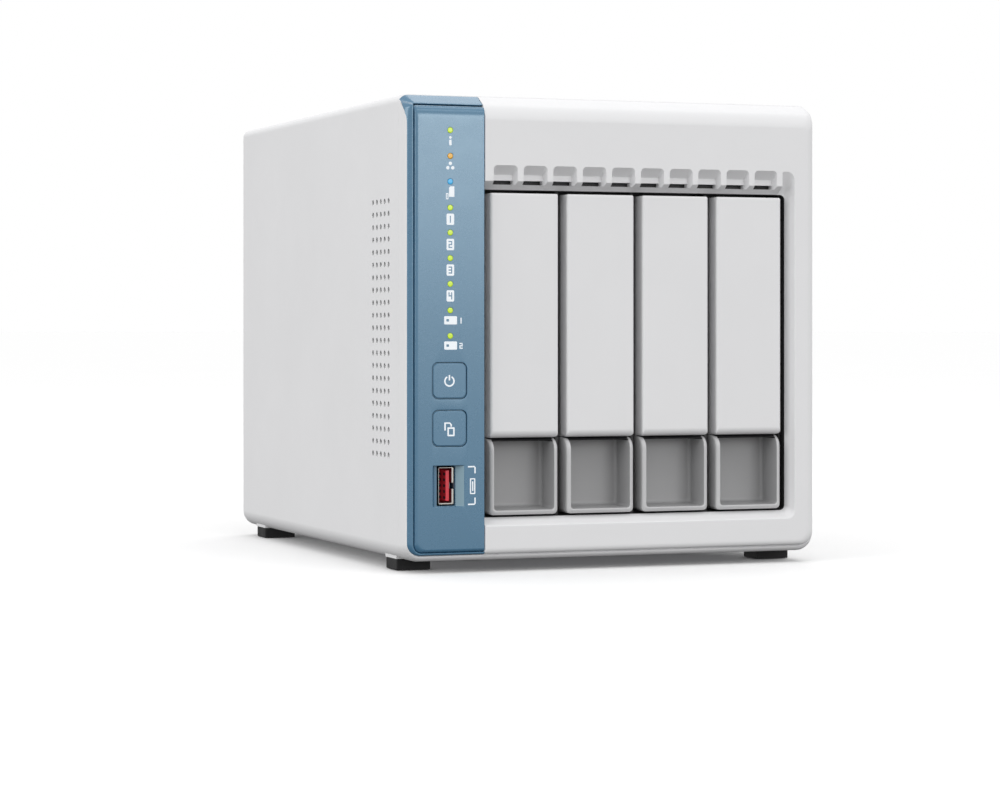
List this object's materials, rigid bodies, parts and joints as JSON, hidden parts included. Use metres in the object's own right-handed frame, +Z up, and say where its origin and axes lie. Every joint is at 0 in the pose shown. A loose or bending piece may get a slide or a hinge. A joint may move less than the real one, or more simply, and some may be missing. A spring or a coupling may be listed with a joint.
{
  "type": "network attached storage",
  "caption": "Desktop network storage box on rubber feet with pull-out drive trays, a blue control strip with buttons and lights, a drive cage and a rear cooling fan.",
  "frame": {"origin": "middle of the footprint on the standing plane, under the rubber feet", "axes": "+Z up, front face looks along -Y, +X to the right seen from the front"},
  "size_m": [0.16, 0.219, 0.169],
  "materials": {
    "shell_white": "fine moulded texture, soft satin, cool grey-white",
    "bezel_white": "smooth satin moulded front, cool grey-white",
    "base_grey": "plain moulded pan, light grey",
    "panel_grey": "powder-coated sheet, light grey",
    "strip_blue": "satin-gloss steel-blue moulding",
    "button_blue": "satin-gloss steel-blue key cap",
    "led_green": "clear light pipe lit yellow-green",
    "led_amber": "clear light pipe lit amber",
    "led_cyan": "clear light pipe lit cyan",
    "tongue_red": "red moulded contact tongue",
    "tongue_blue": "blue moulded contact tongue",
    "socket_steel": "tin-plated stamped shield",
    "zinc_steel": "zinc-plated screw steel",
    "screw_black": "black knurled screw heads",
    "cage_steel": "dark powder-coated sheet steel",
    "board_green": "glass-fibre circuit board with solder mask",
    "board_blue": "glass-fibre module board, blue mask",
    "heatsink_alu": "extruded aluminium fins",
    "drive_alu": "bead-blasted cast drive base",
    "lid_steel": "brushed stamped drive lid",
    "black_plastic": "black moulded plastic",
    "fan_black": "black glass-filled fan frame",
    "rotor_black": "black moulded rotor",
    "guard_wire": "bright plated wire",
    "tray_grey": "mid-grey moulded tray body",
    "tray_white": "smooth satin grey-white tray front",
    "foot_rubber": "black rubber pad"
  },
  "bodies": {
    "case": {"case_cover": "shell_white", "base_pan": "base_grey", "base_screws": "zinc_steel", "rear_panel": "panel_grey", "rear_thumb_screws": "screw_black", "rubber_feet": "foot_rubber", "front_bezel": "bezel_white", "control_panel": "strip_blue", "leds_green": "led_green", "led_amber": "led_amber", "led_cyan": "led_cyan", "front_usb_shell": "socket_steel", "front_usb_tongue": "tongue_red", "front_io_board": "board_green", "main_board": "board_green", "cpu_heatsink": "heatsink_alu", "ram_module": "board_green", "m2_ssd_1": "board_blue", "m2_ssd_2": "board_blue", "lan_jack_1": "socket_steel", "lan_jack_2": "socket_steel", "rear_usb_shells": "socket_steel", "rear_usb_tongues": "tongue_blue", "dc_inlet": "black_plastic", "drive_cage": "cage_steel", "bay_guides": "black_plastic", "backplane_board": "board_green", "sata_sockets": "black_plastic", "fan_frame": "fan_black", "fan_guard": "guard_wire", "fan_screws": "zinc_steel"},
    "tray_1": {"tray_body_1": "tray_grey", "tray_front_1": "tray_white", "drive_body_1": "drive_alu", "drive_lid_1": "lid_steel", "drive_board_1": "board_green", "tray_screws_1": "zinc_steel"},
    "tray_2": {"tray_body_2": "tray_grey", "tray_front_2": "tray_white", "drive_body_2": "drive_alu", "drive_lid_2": "lid_steel", "drive_board_2": "board_green", "tray_screws_2": "zinc_steel"},
    "tray_3": {"tray_body_3": "tray_grey", "tray_front_3": "tray_white", "drive_body_3": "drive_alu", "drive_lid_3": "lid_steel", "drive_board_3": "board_green", "tray_screws_3": "zinc_steel"},
    "tray_4": {"tray_body_4": "tray_grey", "tray_front_4": "tray_white", "drive_body_4": "drive_alu", "drive_lid_4": "lid_steel", "drive_board_4": "board_green", "tray_screws_4": "zinc_steel"},
    "power_key": {"power_button": "button_blue"},
    "copy_key": {"copy_button": "button_blue"},
    "reset_pin": {"reset_button": "black_plastic"},
    "rotor": {"fan_rotor": "rotor_black"}
  },
  "joints": [
    {"name": "tray_1_slide", "type": "slide", "parent": "case", "child": "tray_1", "axis": [0, -1, 0], "range_m": [0, 0.14]},
    {"name": "tray_2_slide", "type": "slide", "parent": "case", "child": "tray_2", "axis": [0, -1, 0], "range_m": [0, 0.14]},
    {"name": "tray_3_slide", "type": "slide", "parent": "case", "child": "tray_3", "axis": [0, -1, 0], "range_m": [0, 0.14]},
    {"name": "tray_4_slide", "type": "slide", "parent": "case", "child": "tray_4", "axis": [0, -1, 0], "range_m": [0, 0.14]},
    {"name": "power_press", "type": "slide", "parent": "case", "child": "power_key", "axis": [0, 1, 0], "range_m": [0, 0.001], "stiffness_N_per_m": 1200},
    {"name": "copy_press", "type": "slide", "parent": "case", "child": "copy_key", "axis": [0, 1, 0], "range_m": [0, 0.001], "stiffness_N_per_m": 1200},
    {"name": "reset_press", "type": "slide", "parent": "case", "child": "reset_pin", "axis": [0, -1, 0], "range_m": [0, 0.001], "stiffness_N_per_m": 1000},
    {"name": "fan_spin", "type": "hinge", "parent": "case", "child": "rotor", "pos_m": [0.0095, 0.0869, 0.086], "axis": [0, 1, 0], "continuous": true}
  ]
}
